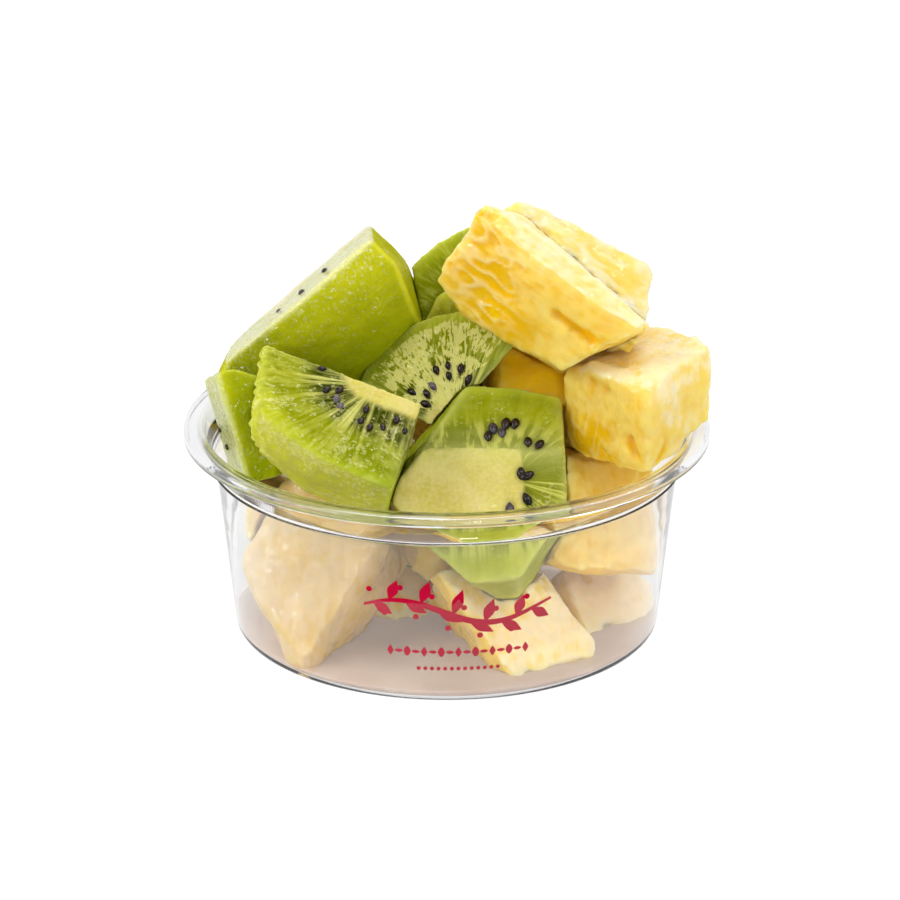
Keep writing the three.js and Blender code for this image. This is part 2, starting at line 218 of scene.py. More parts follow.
def axes_along(axis):
    """A 3x3 array whose rows are two directions across the axis and the axis itself."""
    turn = Vector((0, 0, 1)).rotation_difference(Vector(axis)).to_matrix()
    return np.array(turn).T


def ripple(points, pace, start=0.0):
    """Smooth noise from -1 to 1 at each point; pace is how fast it runs per millimetre, or per axis."""
    shifted = points * np.array(pace) + start
    return np.array([noise.noise(p) for p in shifted.tolist()])


def ease(low, high, values):
    """From 0 at low to 1 at high, with soft ends."""
    t = np.clip((values - low) / (high - low), 0, 1)
    return t * t * (3 - 2 * t)


def bell(distance, reach):
    """From 1 at no distance to almost 0 at twice the reach."""
    return np.exp(-(distance / reach) ** 2)


def piled(forms, heights):
    """Patterns added up, each at its own height."""
    return sum(height * forms[kind] for kind, height in heights.items())


# ---------- meshes ----------
def add_object(name, data):
    made = bpy.data.objects.new(name, data)
    SCENE.collection.objects.link(made)
    return made


def mesh_of(bm, name):
    mesh = bpy.data.meshes.new(name)
    bm.to_mesh(mesh)
    bm.free()
    return mesh


def new_piece(name, mesh, look, smooth=True):
    piece = add_object(name, mesh)
    mesh.materials.clear()
    mesh.materials.append(look)
    mesh.polygons.foreach_set("use_smooth", [smooth] * len(mesh.polygons))
    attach(piece, BODY)
    return piece


def set_attributes(mesh, **attributes):
    """Keep for each point the numbers or vectors given, or one number for them all."""
    for name, values in attributes.items():
        values = np.asarray(values, np.float32)
        if values.ndim == 0:
            values = np.full(len(mesh.vertices), values)
        if values.ndim == 1:
            mesh.attributes.new(name, "FLOAT", "POINT").data.foreach_set("value", values)
        else:
            mesh.attributes.new(name, "FLOAT_VECTOR", "POINT").data.foreach_set("vector", values.ravel())


def read_vectors(items, key):
    flat = np.empty(len(items) * 3, np.float32)
    items.foreach_get(key, flat)
    return flat.reshape(-1, 3).astype(float)


def write_points(mesh, points):
    mesh.vertices.foreach_set("co", points.astype(np.float32).ravel())
    mesh.update()


def fine_mesh(node, cuts, centre):
    """The node's form with its seeds pressed flat, as an even fine mesh with softened edges."""
    bm = bmesh.new()
    bm.from_mesh(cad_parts[node].data)
    bmesh.ops.remove_doubles(bm, verts=bm.verts, dist=1e-6)
    for vert in bm.verts:
        for normal, at in cuts:
            proud = (vert.co - centre).dot(normal) - at
            if proud > 0:
                vert.co -= normal * proud
    form = add_object(node + "_form", mesh_of(bm, node))
    remesh = form.modifiers.new("even", "REMESH")
    remesh.mode = "VOXEL"
    remesh.voxel_size = (FINE if node in FRONT_CHUNKS else COARSE) * MM * 1
    soften = form.modifiers.new("soften", "SMOOTH")
    soften.factor = 0.5
    soften.iterations = SOFT_STEPS.get(node, PLAIN_STEPS)
    graph = bpy.context.evaluated_depsgraph_get()
    mesh = bpy.data.meshes.new_from_object(form.evaluated_get(graph))
    mesh.name = node + "_flesh"
    bpy.data.objects.remove(form)
    return mesh


# ---------- node materials ----------
class Look:
    """The nodes of a material or of the world, with short calls that make them."""

    def __init__(self, owner):
        owner.use_nodes = True
        self.owner = owner
        self.tree = owner.node_tree

    def node(self, kind, inputs=None, **settings):
        made = self.tree.nodes.new(kind)
        for key, value in settings.items():
            setattr(made, key, value)
        for key, value in (inputs or {}).items():
            self.feed(made.inputs[key], value)
        return made

    def feed(self, socket, value):
        if isinstance(value, bpy.types.NodeSocket):
            self.tree.links.new(value, socket)
        elif isinstance(value, bpy.types.Node):
            self.tree.links.new(value.outputs[0], socket)
        else:
            socket.default_value = value

    def attribute(self, name, output="Fac"):
        return self.node("ShaderNodeAttribute", attribute_name=name).outputs[output]

    def place(self):
        return self.node("ShaderNodeTexCoord").outputs["Object"]

    def math(self, operation, a, b=0, c=0):
        return self.node("ShaderNodeMath", {0: a, 1: b, 2: c}, operation=operation).outputs[0]

    def times(self, a, b):
        return self.math("MULTIPLY", a, b)

    def sway(self, pattern, amount, onto):
        """Add a pattern, which sways about 0.5, onto something else."""
        return self.math("MULTIPLY_ADD", self.math("SUBTRACT", pattern, 0.5), amount, onto)

    def vector(self, operation, a, b=(0, 0, 0)):
        made = self.node("ShaderNodeVectorMath", {0: a}, operation=operation)
        if operation == "SCALE":
            self.feed(made.inputs["Scale"], b)
        elif operation != "LENGTH":
            self.feed(made.inputs[1], b)
        return made.outputs["Value" if operation in ("LENGTH", "DOT_PRODUCT") else "Vector"]

    def paced(self, a, a_pace, b, b_pace):
        """Two vectors added up, each at its own pace."""
        return self.vector("ADD", self.vector("SCALE", a, a_pace), self.vector("SCALE", b, b_pace))

    def noise(self, at, scale, detail=2, roughness=0.5, distortion=0):
        inputs = {"Vector": at, "Scale": scale, "Detail": detail, "Roughness": roughness}
        return self.node("ShaderNodeTexNoise", {**inputs, "Distortion": distortion}).outputs[0]

    def spots(self, *pattern):
        """Noise that is fixed to the piece."""
        return self.noise(self.place(), *pattern)

    def between(self, value, low, high, to_low=0, to_high=1, kind="SMOOTHSTEP"):
        inputs = {"Value": value, "From Min": low, "From Max": high, "To Min": to_low, "To Max": to_high}
        return self.node("ShaderNodeMapRange", inputs, interpolation_type=kind).outputs[0]

    def mix(self, share, a, b):
        """One colour turned into another by a share."""
        return self.node("ShaderNodeMix", {0: share, 6: a, 7: b}, data_type="RGBA").outputs[2]

    def mix_number(self, share, a, b):
        return self.node("ShaderNodeMix", {0: share, 2: a, 3: b}, data_type="FLOAT").outputs[0]

    def bump(self, height, strength, distance, normal=None):
        inputs = {"Height": height, "Strength": strength, "Distance": distance}
        if normal is not None:
            inputs["Normal"] = normal
        return self.node("ShaderNodeBump", inputs).outputs[0]

    def finish(self, **sockets):
        for key, value in sockets.items():
            self.feed(self.tree.nodes["Principled BSDF"].inputs[key.replace("_", " ")], value)
        return self.owner


def new_look(name):
    return Look(bpy.data.materials.new(name))


def tone(red, green, blue, alpha=1):
    """A colour given as it looks on a screen, 0 to 255."""
    def linear(c):
        c /= 255
        return c / 12.92 if c <= 0.04045 else ((c + 0.055) / 1.055) ** 2.4
    return (linear(red), linear(green), linear(blue), alpha)


# How fast the rays change, in the colour and in the relief.
RAY_PACE = Named(round=9, along=0.75)
# How far from the core's line the dark about the seeds fades out, and where the peeled side's green begins.
SEEDS_TO = (11, 17)
SKIN_FROM = (20, 24)


def kiwi_patterns(look):
    """The patterns that a kiwi's colours and relief share."""
    at = Named()
    spoke = look.attribute("spoke", "Vector")
    spine = look.node("ShaderNodeCombineXYZ", {0: 0, 1: 0, 2: look.attribute("along")}).outputs[0]
    at.depth = look.vector("LENGTH", spoke)
    at.way = look.vector("NORMALIZE", spoke)
    at.fruit = look.vector("ADD", spoke, spine)
    # Pale rays run out from the core; they waver a little and are broken along the fruit.
    at.rays = look.noise(look.paced(at.way, RAY_PACE.round, spine, RAY_PACE.along), 1, 2, 0.55)
    at.thin_rays = look.noise(look.paced(at.way, 20, at.fruit, 0.3), 1, 2, 0.5)
    at.cloud = look.noise(at.fruit, 0.16, 3, 0.55)
    at.grain = look.noise(at.fruit, 1.3, 3, 0.6)
    return at


def kiwi_green(look, at):
    """The flesh from the seeds out to the peeled side: dark between the seeds, with pale rays."""
    # Painted light: the green is painted paler towards the side the light comes from, and darker away from it
    # as painted shade.
    light = look.sway(at.cloud, 0.5, look.attribute("pale"))
    reach = look.sway(look.noise(at.fruit, 0.35, 2), 2.6, at.depth)
    pale_ray = look.between(at.rays, 0.46, 0.64)
    outer = look.mix(light, tone(112, 126, 0), tone(178, 178, 16))
    outer = look.mix(look.times(look.times(pale_ray, 0.4), look.attribute("ray")), outer, tone(196, 194, 66))
    skin = look.mix(light, tone(140, 158, 0), tone(222, 218, 34))
    # The peeled side's milky look is a painted reflection of the bright surroundings.
    skin = look.mix(look.attribute("milk"), skin, tone(168, 166, 84))
    flesh = look.mix(look.between(reach, *SKIN_FROM), outer, skin)
    inner = look.mix(pale_ray, tone(56, 66, 0), tone(204, 202, 112))
    near_seeds = look.times(look.between(reach, *SEEDS_TO, 1, 0), look.attribute("dark"))
    return look.mix(look.times(near_seeds, look.attribute("cut")), flesh, inner)


def kiwi_core(look, at, flesh):
    """The cream core, whose border frays along the rays, laid into the flesh."""
    core = look.mix(look.between(at.cloud, 0.3, 0.7), tone(206, 189, 86), tone(220, 204, 126))
    core = look.mix(look.between(at.grain, 0.35, 0.7, 0, 0.3), core, tone(232, 226, 160))
    near_core = look.sway(at.rays, 2.6, look.attribute("core"))
    return look.mix(look.between(near_core, -0.9, 1.3, 1, 0), flesh, core)


def kiwi_marks(look, at, flesh):
    """Dark halos about the seeds, thin pale lines, and edges painted pale as the glow of light through them.
    """
    flesh = look.mix(look.times(look.attribute("halo"), 0.8), flesh, tone(50, 52, 14))
    lines = look.times(look.between(at.thin_rays, 0.42, 0.68, 0, 0.3), look.attribute("ray"))
    flesh = look.mix(lines, flesh, tone(212, 214, 104))
    return look.mix(look.times(look.attribute("rim"), 0.5), flesh, tone(214, 216, 130))


def kiwi_film(look, at):
    """Where juice covers the flesh, in streaks along the rays or in fine specks."""
    patches = look.spots(420, 4, 0.62, 0.4)
    dashes = look.noise(look.paced(at.way, 24, at.fruit, 0.5), 1, 3, 0.6)
    streaks = look.math("MULTIPLY_ADD", dashes, 0.5, look.times(patches, 0.5))
    specks = look.spots(1500, 2, 0.5)
    edges = look.mix_number(look.attribute("speck"), streaks, specks)
    return look.between(look.sway(edges, 2.6, look.attribute("wet")), 0.47, 0.52)


def kiwi_look():
    look = new_look("kiwi_flesh")
    at = kiwi_patterns(look)
    flesh = kiwi_marks(look, at, kiwi_core(look, at, kiwi_green(look, at)))
    covered = kiwi_film(look, at)
    # The juice's colour is a painted reflection, a pale sheen that is whiter on the first cut where glare
    # says.
    juice = look.mix(look.attribute("glare"), tone(224, 220, 124), tone(214, 214, 196))
    flesh = look.mix(look.times(covered, look.attribute("veil")), flesh, juice)
    height = look.math("ADD", look.times(at.grain, 0.35), look.times(at.rays, look.attribute("ray")))
    pores = look.bump(look.spots(1100, 2, 0.5), 0.25, 0.00015)
    waves = look.bump(look.spots(500, 2, 0.5), 0.5, 0.0004)
    drops = look.spots(1000, 1, 0.5)
    shine = look.math("MULTIPLY_ADD", look.attribute("speck"), 0.5, 0.5)
    return look.finish(
        Base_Color=flesh, Roughness=look.between(at.grain, 0.3, 0.7, 0.4, 0.55), IOR=1.4,
        Specular_IOR_Level=0, Normal=look.bump(height, 0.4, 0.0003, pores),
        Subsurface_Weight=0.35, Subsurface_Scale=0.001, Subsurface_Radius=(2.2, 2.4, 0.3),
        Coat_Weight=look.times(covered, shine), Coat_Roughness=0.05, Coat_IOR=1.7,
        Coat_Normal=look.bump(drops, 1, 0.001, waves),
    )


def pineapple_colour(look, fibre, streaks, juice):
    """Pale cream through yellow to deep gold, with pale threads and veins, bruises, painted glow and painted
    shade.
    """
    threads = look.noise(look.vector("MULTIPLY", fibre, (3, 3, 0.5)), 1, 2, 0.55)
    cloud = look.noise(look.vector("MULTIPLY", fibre, (0.15, 0.15, 0.11)), 1, 3, 0.5, 0.5)
    gold = look.sway(cloud, 0.9, look.attribute("gold"))
    gold = look.sway(juice, 0.2, gold)
    gold = look.sway(streaks, -0.45, gold)
    gold = look.math("MULTIPLY_ADD", look.attribute("hollow"), 0.35, gold)
    flesh = look.mix(look.between(gold, 0, 0.4), tone(252, 230, 180), tone(248, 214, 104))
    flesh = look.mix(look.between(gold, 0.4, 0.9), flesh, tone(238, 190, 6))
    # Past 0.9 a saturated yellow, painted as the glow of bounced light on a chunk in shade.
    flesh = look.mix(look.between(gold, 0.9, 1.3), flesh, tone(255, 202, 0))
    flesh = look.mix(look.between(threads, 0.55, 0.8, 0, 0.1), flesh, tone(253, 236, 200))
    # Pale veins, and painted glow along the edges and on the patches where chunks touch the wall.
    flesh = look.mix(look.times(look.attribute("vein"), 0.45), flesh, tone(254, 240, 200))
    flesh = look.mix(look.attribute("bruise"), flesh, tone(150, 96, 40))
    # Painted shade and haze: chunks seen behind the cup's wall are darkened towards a beige brown.
    return look.mix(look.attribute("dull"), flesh, tone(176, 142, 90))


def pineapple_look():
    look = new_look("pineapple_flesh")
    fibre = look.attribute("fibre", "Vector")
    streaks = look.noise(look.vector("MULTIPLY", fibre, (0.8, 0.8, 0.16)), 1, 2, 0.5, 0.6)
    juice = look.noise(fibre, 0.85, 3, 0.6)
    height = look.math("ADD", look.times(streaks, 0.15), look.times(juice, 0.4))
    pores = look.bump(look.spots(1100, 3, 0.5), 0.2, 0.0001)
    film = look.spots(330, 4, 0.62)
    drops = look.spots(900, 1, 0.5)
    return look.finish(
        Base_Color=pineapple_colour(look, fibre, streaks, juice),
        Roughness=look.between(juice, 0.3, 0.7, 0.4, 0.55), IOR=1.4, Specular_IOR_Level=0.1,
        Normal=look.bump(height, 0.3, 0.0005, pores),
        Subsurface_Weight=0.8, Subsurface_Scale=0.001, Subsurface_Radius=(4, 3.4, 1.3),
        Coat_Weight=look.between(film, 0.52, 0.58, 0, 0.7), Coat_Roughness=0.06, Coat_IOR=1.6,
        Coat_Normal=look.bump(drops, 0.5, 0.0004),
    )


def seed_look():
    look = new_look("kiwi_seed")
    spots = look.spots(900, 3, 0.6)
    brown = look.mix(look.between(spots, 0.35, 0.7), tone(10, 6, 7), tone(44, 21, 19))
    veiled = look.mix(look.between(spots, 0.3, 0.7), tone(96, 84, 100), tone(134, 124, 132))
    colour = look.mix(look.attribute("veil"), brown, veiled)
    normal = look.bump(look.spots(2600, 2), 0.3, 0.00008)
    return look.finish(
        Base_Color=colour, Roughness=look.between(spots, 0.3, 0.7, 0.1, 0.26), Normal=normal, IOR=1.36
    )


def plastic_look():
    """Clear plastic that bends what is seen through it and lets the lamps light what it holds."""
    look = new_look("clear_plastic")
    flow = look.noise(look.vector("MULTIPLY", look.place(), (60, 60, 160)), 1, 2, 0.5)
    normal = look.bump(flow, 0.1, 0.0003)
    shader = look.tree.nodes["Principled BSDF"]
    look.finish(
        Base_Color=look.mix(look.between(flow, 0.3, 0.7), tone(252, 252, 253), tone(246, 246, 248)),
        Roughness=look.between(flow, 0.3, 0.7, 0.01, 0.03), Normal=normal,
        IOR=1.45, Transmission_Weight=1,
    )
    clear = look.node("ShaderNodeBsdfTransparent", {"Color": tone(248, 248, 249)})
    lamp_ray = look.node("ShaderNodeLightPath").outputs["Is Shadow Ray"]
    both = look.node("ShaderNodeMixShader", {0: lamp_ray, 1: shader, 2: clear})
    look.feed(look.tree.nodes["Material Output"].inputs["Surface"], both)
    return look.owner


# A thin pool of juice whose beige tint is painted shadow: the shade under the heap, seen through the base.
def juice_and_painted_shadow_look():
    look = new_look("juice")
    swirl = look.spots(70, 3, 0.55, 0.8)
    colour = look.mix(look.between(swirl, 0.3, 0.7), tone(208, 184, 164), tone(196, 169, 148))
    normal = look.bump(swirl, 0.15, 0.0004)
    return look.finish(
        Base_Color=colour, Roughness=look.between(swirl, 0.3, 0.7, 0.08, 0.14), Normal=normal,
        IOR=1.34, Alpha=0.6,
    )


def print_look():
    look = new_look("crimson_ink")
    cover = look.spots(1500, 3, 0.6)
    colour = look.mix(look.between(cover, 0.3, 0.75), tone(184, 0, 46), tone(194, 4, 56))
    normal = look.bump(cover, 0.1, 0.00005)
    return look.finish(
        Base_Color=colour, Roughness=look.between(cover, 0.3, 0.7, 0.42, 0.55), Normal=normal, IOR=1.12
    )


# ---------- kiwi chunks ----------
KIWI_FLESH = kiwi_look()
SEED_SKIN = seed_look()

# A kiwi's patterns: how fast each runs, and how far it shifts from chunk to chunk.
KIWI_PATTERNS = {
    "broad": (0.13, 3.1), "lumps": (0.55, 1.7), "grain": (1.5, 2.3), "wear": (0.8, 5.3),
    "beads": (0.75, 6.1), "ridges": ((0.42, 0.42, 0.03), 7.7), "film": (0.16, 4.1),
}
# How high the patterns stand on the peeled side and on the cuts, and how far the cuts' edges are worn.
PEEL_RELIEF = {"broad": 0.5, "lumps": 0.14, "grain": 0.06}
CUT_RELIEF = {"broad": 0.3, "lumps": 0.08, "rays": 0.1, "grain": 0.03}
EDGE_WEAR = Named(even=0.14, uneven=0.3)
RIDGE_HEIGHT = 1.2
# A distance that counts as far from any core or edge.
FAR = 9
# How seeds differ: in size, in turn, how deep they lie, and past which depth the juice veils them.
SEED_DRAW = Named(size=0.85, larger=0.3, turn=0.5, proud=0.12, sunk=0.34, veiled=0.72, veil=3)
SEED_TAPER = Named(share=0.45, power=1.5)


def draws(start):
    """Numbers from 0 to 1, the same run for the same start."""
    state = start * 7919 + 17
    while True:
        state = (state * 16807) % 2147483647
        yield state / 2147483647


def face_axes(axis, normal):
    """Two directions in a cut face, the first as near the fruit's axis as it can lie."""
    first = axis - axis.dot(normal) * normal
    if np.linalg.norm(first) < 0.1:
        first = np.array([0, 0, 1.0]) - normal[2] * normal
    first = unit(first)
    return first, np.cross(normal, first)


def ring_spots(kiwi, number, random):
    """Where the cut crosses the egg-shaped layer of seeds about the core, as points in millimetres."""
    cut_bearing, cut_slope, at, count = kiwi["cuts"][number]
    normal = direction(cut_bearing, cut_slope)
    axis = direction(*kiwi["axis"])
    first, second = face_axes(axis, normal)
    to_fruit = axes_along(axis)
    squash = np.array([SEED_RING.radius, SEED_RING.radius, SEED_RING.half_length])
    foot = to_fruit @ (normal * at) / squash
    spots = []
    for i in range(count):
        turn = 2 * math.pi * (i + 0.5 * next(random)) / count
        outward = first * math.cos(turn) + second * math.sin(turn)
        way = to_fruit @ outward / squash
        a, b, c = way @ way, 2 * foot @ way, foot @ foot - 1
        if b * b < 4 * a * c:
            continue
        reach = (math.sqrt(b * b - 4 * a * c) - b) / (2 * a)
        reach *= SEED_RING.nearest + SEED_RING.spread * next(random)
        if reach > SEED.length:
            spots.append(normal * at + outward * reach)
    return spots


def cut_planes(kiwi):
    """The normals of a chunk's cuts, and their distances from the middle of the fruit."""
    normals = np.array([direction(bearing, slope) for bearing, slope, _, _ in kiwi["cuts"]])
    return normals, np.array([at for _, _, at, _ in kiwi["cuts"]])


def seeds_of(name, kiwi, chunk):
    """A chunk's seeds: each one's spot from the fruit's middle, its face's normal, and the way it points."""
    random = draws(chunk)
    axis = direction(*kiwi["axis"])
    normals, ats = cut_planes(kiwi)
    found = []
    for number, (_, _, at, count) in enumerate(kiwi["cuts"]):
        normal = normals[number]
        first, second = face_axes(axis, normal)
        if (name, number) in SEED_SPOTS:
            spots = [normal * at + first * a + second * b for a, b in SEED_SPOTS[(name, number)]]
        else:
            spots = ring_spots(kiwi, number, random) if count else []
        for spot in spots:
            room = [ats[k] - spot @ normals[k] for k in range(len(ats)) if k != number]
            outward = spot - axis * np.clip(spot @ axis, -SEED_ROOM.line_end, SEED_ROOM.line_end)
            outward = outward - outward @ normal * normal
            if min(room, default=FAR) > SEED_ROOM.cut and np.linalg.norm(outward) > SEED_ROOM.line:
                found.append((spot, normal, unit(outward)))
    return found


def kiwi_places(kiwi, core, points):
    """Where each point of a chunk lies in its fruit, and how near its cuts and edges."""
    normals, ats = cut_planes(kiwi)
    at = Named()
    at.points = points
    at.local = points - np.array(kiwi["centre"])
    at.fruit = at.local @ axes_along(direction(*kiwi["axis"])).T / kiwi["size"]
    at.gaps = np.abs(at.local @ normals.T - ats)
    # The nearest cut tells which points are on a cut face, and the next one how near an edge they are.
    nearest, at.next_cut = np.sort(at.gaps, axis=1)[:, :2].T
    at.on_cut = 1 - ease(FACE_REACH, FACE_REACH * 2.5, nearest)
    at.on_first = 1 - ease(FACE_REACH, FACE_REACH * 2, at.gaps[:, 0])
    at.beside_first = 1 - ease(*SHINE_REACH, at.gaps[:, 0])
    # The spoke runs to each point from the straight part of the core.
    at.along = np.clip(at.fruit[:, 2], core[1], core[2])
    at.spoke = at.fruit - np.outer(at.along, (0, 0, 1))
    at.border = face_border(at, kiwi["size"])
    return at


def face_border(at, size):
    """How far a point of a cut face lies in from the face's edge, which the peeled side bounds too."""
    share = np.clip(np.abs(at.fruit[:, 2]) / FRUIT.half_length, 0, 1)
    half_width = FRUIT.radius * (1 - share ** FRUIT.power) ** (1 / FRUIT.power)
    skin_gap = (half_width - np.hypot(at.fruit[:, 0], at.fruit[:, 1])) * size
    return np.minimum(at.next_cut, np.where(at.on_cut > 0.5, np.maximum(skin_gap, 0), FAR))


def core_gap(at, core):
    """How far outside the core each point lies. The core shows on the first cut alone."""
    radius, _, _, end, blunt = core
    past = np.abs(at.fruit[:, 2] - at.along)
    across = np.hypot(at.spoke[:, 0], at.spoke[:, 1])
    gap = (across ** blunt + (past * radius / end) ** blunt) ** (1 / blunt) - radius
    return gap + FAR * (1 - at.on_first)


def seed_halos(at, seeds):
    """For each point, how near the nearest seed is, from 0 to 1, and the same for all seeds added up."""
    shares = [np.zeros(len(at.points))]
    for spot, normal, way in seeds:
        offset = at.local - spot
        height = offset @ normal
        span = offset - np.outer(height, normal)
        ahead = span @ way
        length = np.abs(ahead) / HALO.length
        side = np.linalg.norm(span - np.outer(ahead, way), axis=1) / HALO.width
        near = np.exp(-(length ** 2 + side ** 2) * HALO.fade)
        shares.append((np.abs(height) < HALO.depth) * near)
    return np.max(shares, axis=0), np.sum(shares, axis=0)


def kiwi_relief(at, flesh, chunk):
    """How far each point is lifted, with the share of beads and of ridges in it."""
    def pattern(kind, points=at.points):
        pace, shift = KIWI_PATTERNS[kind]
        return ripple(points, pace, chunk * shift)

    away = np.linalg.norm(at.spoke, axis=1)
    rays_at = at.spoke / np.maximum(away, 0.5)[:, None] * RAY_PACE.round
    rays_at[:, 2] += at.along * RAY_PACE.along
    forms = {kind: pattern(kind) for kind in PEEL_RELIEF}
    forms["rays"] = ripple(rays_at, 1) * ease(4, 7, away)
    lift = piled(forms, CUT_RELIEF) * at.on_cut + piled(forms, PEEL_RELIEF) * (1 - at.on_cut)
    edge = 1 - ease(0, EDGE_REACH, at.next_cut)
    lift -= edge * at.on_cut * (EDGE_WEAR.even + EDGE_WEAR.uneven * pattern("wear"))
    beaded, reach, height = flesh.beads
    beads = bell(at.gaps[:, beaded], reach) * (height > 0) * np.maximum(pattern("beads"), 0)
    ridges = flesh.ridges * pattern("ridges", at.fruit) * (1 - at.on_cut)
    return lift + 2 * height * beads + RIDGE_HEIGHT * ridges, beads, ridges, forms["lumps"]


def kiwi_wetness(at, flesh, beads, chunk):
    """How much juice lies at each point."""
    pace, shift = KIWI_PATTERNS["film"]
    film = flesh.film + 0.2 * ripple(at.points, pace, chunk * shift)
    if flesh.first_film is not None:
        film = film * (1 - at.beside_first) + flesh.first_film * at.beside_first
    film -= flesh.dry_border * (1 - ease(0.8, 2.6, at.border)) * at.on_cut
    wet_cut, reach, wetter = flesh.wet_edge
    film += wetter * bell(at.gaps[:, wet_cut], reach) * (1 - at.on_cut)
    return film + 0.35 * beads


def shape_kiwi(name, kiwi, chunk):
    flesh = Named(**{**PLAIN, **FLESH.get(name, {})})
    centre = np.array(kiwi["centre"])
    planes = [(Vector(normal), at * MM) for normal, at in zip(*cut_planes(kiwi))]
    mesh = fine_mesh(name, planes, Vector(centre) * MM)
    outward = read_vectors(mesh.vertex_normals, "vector")
    at = kiwi_places(kiwi, flesh.core, read_vectors(mesh.vertices, "co") / MM)
    seeds = seeds_of(name, kiwi, chunk)
    halo, dips = seed_halos(at, seeds)
    lift, beads, ridges, lumps = kiwi_relief(at, flesh, chunk)
    lift -= HALO.dip * dips
    write_points(mesh, (at.points + outward * lift[:, None]) * MM)

    # Painted light and shade: each chunk's green grows paler towards one side and darker away from it.
    bearing, slope, span = flesh.pale
    pale = 0.5 + at.local @ direction(bearing, slope) / span + 0.9 * ridges
    pale += flesh.cut_pale * at.on_cut + flesh.peel_pale * (1 - at.on_cut)
    # How much of the juice's painted reflection covers the flesh, whitest on the first cut.
    veil = flesh.veil * (1 - 0.86 * flesh.speck) + flesh.glare * at.beside_first
    # Painted light: faces' edges are painted paler as the glow of light through thin flesh, and juice beads
    # as a white sheen.
    rim = flesh.rim * np.exp(-at.border / 0.9) * (0.35 + 0.65 * at.on_cut) + 0.5 * beads
    set_attributes(
        mesh, spoke=at.spoke, along=at.along, cut=at.on_cut, rim=rim, veil=veil,
        core=core_gap(at, flesh.core), halo=HALO.dark * halo, pale=np.clip(pale, -0.1, 1.1),
        milk=flesh.milk * (1 - at.on_cut) * (0.75 + 0.5 * lumps), ray=flesh.ray * at.on_cut,
        wet=kiwi_wetness(at, flesh, beads, chunk), glare=min(1.0, flesh.glare * 2),
        dark=flesh.dark, speck=flesh.speck,
    )
    piece = new_piece(name + "_flesh", mesh, KIWI_FLESH)
    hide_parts(name)
    return [(centre + spot, normal, way, flesh.seed) for spot, normal, way in seeds]


def shape_seeds(spots):
    """All the seeds as one mesh: glossy drops lying in the cut faces, their points towards the core."""
    drop = bmesh.new()
    bmesh.ops.create_uvsphere(drop, u_segments=12, v_segments=8, radius=0.5)
    for vert in drop.verts:
        taper = 1 - SEED_TAPER.share * max(0, -vert.co.z * 2) ** SEED_TAPER.power
        vert.co.x *= taper
        vert.co.y *= taper
    one = mesh_of(drop, "seed")
    random = draws(97)
    whole = bmesh.new()
    veils = []
    for spot, normal, way, scale in spots:
        across = np.cross(normal, way)
        size = scale * (SEED_DRAW.size + SEED_DRAW.larger * next(random))
        sunk = next(random)
        turn = SEED_DRAW.turn * (next(random) - 0.5)
        pointing = way * math.cos(turn) + across * math.sin(turn)
        side = np.cross(normal, pointing)
        axes = [side * SEED.width, normal * SEED.depth, pointing * SEED.length]
        place = Matrix((np.column_stack(axes) * size * MM).tolist()).to_4x4()
        place.translation = Vector((spot + normal * (SEED_DRAW.proud - SEED_DRAW.sunk * sunk)) * MM)
        before = len(whole.verts)
        whole.from_mesh(one)
        whole.verts.ensure_lookup_table()
        bmesh.ops.transform(whole, matrix=place, verts=whole.verts[before:])
        veil = max(0.0, sunk - SEED_DRAW.veiled) * SEED_DRAW.veil
        veils += [veil] * (len(whole.verts) - before)
    bmesh.ops.recalc_face_normals(whole, faces=whole.faces)
    mesh = mesh_of(whole, "kiwi_seeds")
    set_attributes(mesh, veil=veils)
    new_piece("kiwi_seeds", mesh, SEED_SKIN)


# ---------- pineapple chunks ----------
PINEAPPLE_FLESH = pineapple_look()

# A face pressed flatter on a chunk: [bearing, slope, distance from the origin].
PRESSED = {"pineapple_top_front": (-81, 54, 61.9)}

# Marks on the chunks: where each is, or runs from and to, its reach, how deep it goes, and how golden, veined
# or bruised it is.
MARKS = {
    "pineapple_top_front": [
        dict(at=(6.5, 2.8, 71.5), reach=9, gold=0.42, vein=0.8),
        dict(at=(7, 2, 61), reach=5, gold=0.15, vein=0.6),
        dict(at=(20, -5.8, 62.6), to=(26.2, -9.8, 59.2), reach=0.9, drop=1.3, gold=0.5),
        dict(at=(22.6, -7.8, 60), reach=1.1, drop=-0.5, bruise=0.5),
        dict(at=(28, -11, 60), reach=6, gold=0.15),
        dict(at=(14, -2, 61), reach=8, gold=0.16),
        dict(at=(8, 1, 57), reach=6, gold=0.3),
    ],
    "pineapple_right": [
        dict(at=(25.5, -6.5, 39), reach=7, gold=0.35, vein=0.4),
        dict(at=(33.6, -13.8, 41), to=(34.4, -14.4, 38.6), reach=1, drop=1.5, gold=0.8),
        dict(at=(25.2, -1.2, 52), reach=1.2, drop=0.4, bruise=0.6),
        dict(at=(27, -4.5, 52.6), to=(32, -8.5, 51.8), reach=1.3, drop=-0.9, gold=-0.4),
        dict(at=(26.5, -6.3, 49.8), to=(30.5, -9.5, 48.6), reach=1.1, drop=0.9, gold=0.1),
    ],
}


# A chunk's patterns: how fast each runs across and along the fibres, and where it starts.
CHUNK_PATTERNS = {
    "broad": (0.11, 0), "bundles": ((0.3, 0.3, 0.12), 0), "strands": ((0.9, 0.9, 0.2), 0),
    "juice": ((0.6, 0.6, 0.5), 5), "cells": ((1.7, 1.7, 1.4), 8),
}
WARPED_PATTERNS = {"pits": ((0.18, 0.18, 0.11), 11), "veins": ((0.42, 0.42, 0.2), 21)}
NIBBLES = (0.34, 2.9)
# How far the fibres' patterns shift from chunk to chunk, and how far the bundles warp the pits and veins.
FIBRE_SHIFT = 37
WARP = 1.8
